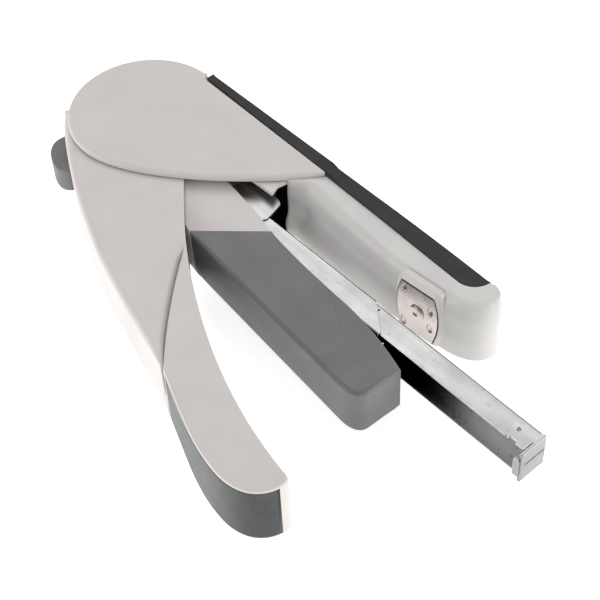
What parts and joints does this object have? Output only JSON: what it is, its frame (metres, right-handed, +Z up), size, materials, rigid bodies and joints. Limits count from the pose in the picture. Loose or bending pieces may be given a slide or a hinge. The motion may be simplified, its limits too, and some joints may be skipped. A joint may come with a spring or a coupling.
{
  "type": "hand stapler",
  "caption": "Plier-style hand stapler lying on its side: round-ended jaw with rubber sole, sprung handle with rubber grip, turning anvil and a pull-out staple magazine.",
  "frame": {"origin": "centre of the bounding box, on the surface that the lower cheek rests on", "axes": "+X along the jaw towards the pulled-out magazine, +Y towards the rubber sole, +Z up along the hinge pins"},
  "size_m": [0.2372, 0.1204, 0.032],
  "materials": {
    "ivory_plastic": "fine-grained moulded plastic, warm light grey",
    "white_plastic": "smooth moulded plastic, white",
    "grey_plastic": "fine-grained moulded plastic, mid grey",
    "beige_plastic": "moulded acetal, beige",
    "grip_rubber": "soft-touch rubber, mid grey",
    "sole_rubber": "matt rubber, near black",
    "nickel_steel": "bright nickel-plated sheet steel",
    "spring_steel": "plain oiled steel"
  },
  "bodies": {
    "base": {"base_arm": "white_plastic", "upper_cheek": "ivory_plastic", "lower_cheek": "ivory_plastic", "sole_pad": "sole_rubber", "cheek_screw_1": "spring_steel", "cheek_screw_2": "spring_steel", "cheek_screw_3": "spring_steel", "pivot_pin": "nickel_steel", "anvil_rivet": "nickel_steel"},
    "anvil": {"anvil_plate": "nickel_steel"},
    "head": {"head_frame": "ivory_plastic", "head_cover": "grey_plastic", "magazine_guide": "nickel_steel", "driver_guide": "spring_steel", "limit_bracket": "nickel_steel", "pivot_bush": "beige_plastic", "return_spring": "spring_steel", "latch_pin": "nickel_steel", "upper_washer": "nickel_steel", "lower_washer": "nickel_steel"},
    "latch": {"magazine_latch": "spring_steel"},
    "driver_arm": {"driver_arm": "spring_steel"},
    "driver": {"driver_blade": "nickel_steel"},
    "magazine": {"magazine_channel": "nickel_steel", "magazine_front": "nickel_steel", "pusher_spring": "spring_steel"},
    "pusher": {"staple_pusher": "spring_steel"},
    "handle": {"handle_rear_shell": "ivory_plastic", "handle_front_shell": "ivory_plastic", "grip_pad": "grip_rubber", "handle_lever": "spring_steel", "drive_spring": "spring_steel"},
    "button": {"release_button": "grip_rubber"}
  },
  "joints": [
    {"name": "handle_squeeze", "type": "hinge", "parent": "base", "child": "handle", "pos_m": [-0.08802, 0.0283, 0.016], "axis": [0, 0, 1], "range_deg": [0, 14], "stiffness_Nm_per_rad": 1.2, "springref_deg": -8.59},
    {"name": "head_swing", "type": "hinge", "parent": "base", "child": "head", "pos_m": [-0.08802, 0.0283, 0.016], "axis": [0, 0, 1], "range_deg": [0, 4.05]},
    {"name": "driver_arm_swing", "type": "hinge", "parent": "head", "child": "driver_arm", "pos_m": [-0.08802, 0.0283, 0.016], "axis": [0, 0, 1], "range_deg": [0, 4.05]},
    {"name": "driver_slide", "type": "slide", "parent": "head", "child": "driver", "axis": [0, 1, 0], "range_m": [0, 0.0095]},
    {"name": "magazine_slide", "type": "slide", "parent": "head", "child": "magazine", "axis": [-1, 0, 0], "range_m": [0, 0.061]},
    {"name": "pusher_slide", "type": "slide", "parent": "magazine", "child": "pusher", "axis": [1, 0, 0], "range_m": [0, 0.0805]},
    {"name": "anvil_turn", "type": "hinge", "parent": "base", "child": "anvil", "pos_m": [0.04798, 0.0422, 0.016], "axis": [0.075, -0.9972, 0], "range_deg": [0, 180]},
    {"name": "button_press", "type": "slide", "parent": "handle", "child": "button", "axis": [0.4848, 0.8746, 0], "range_m": [0, 0.003], "stiffness_N_per_m": 400, "springref_m": -0.001},
    {"name": "latch_lift", "type": "hinge", "parent": "head", "child": "latch", "pos_m": [-0.06162, 0.017, 0.016], "axis": [0, 0, 1], "range_deg": [-8.2, 0]}
  ],
  "couplings": [
    {"joint": "head_swing", "follows": "handle_squeeze", "ratio": 0.28571},
    {"joint": "driver_arm_swing", "follows": "handle_squeeze", "ratio": 0.28571},
    {"joint": "driver_slide", "follows": "handle_squeeze", "m_per_rad": 0.03847},
    {"joint": "latch_lift", "follows": "button_press", "rad_per_m": -46.5}
  ]
}
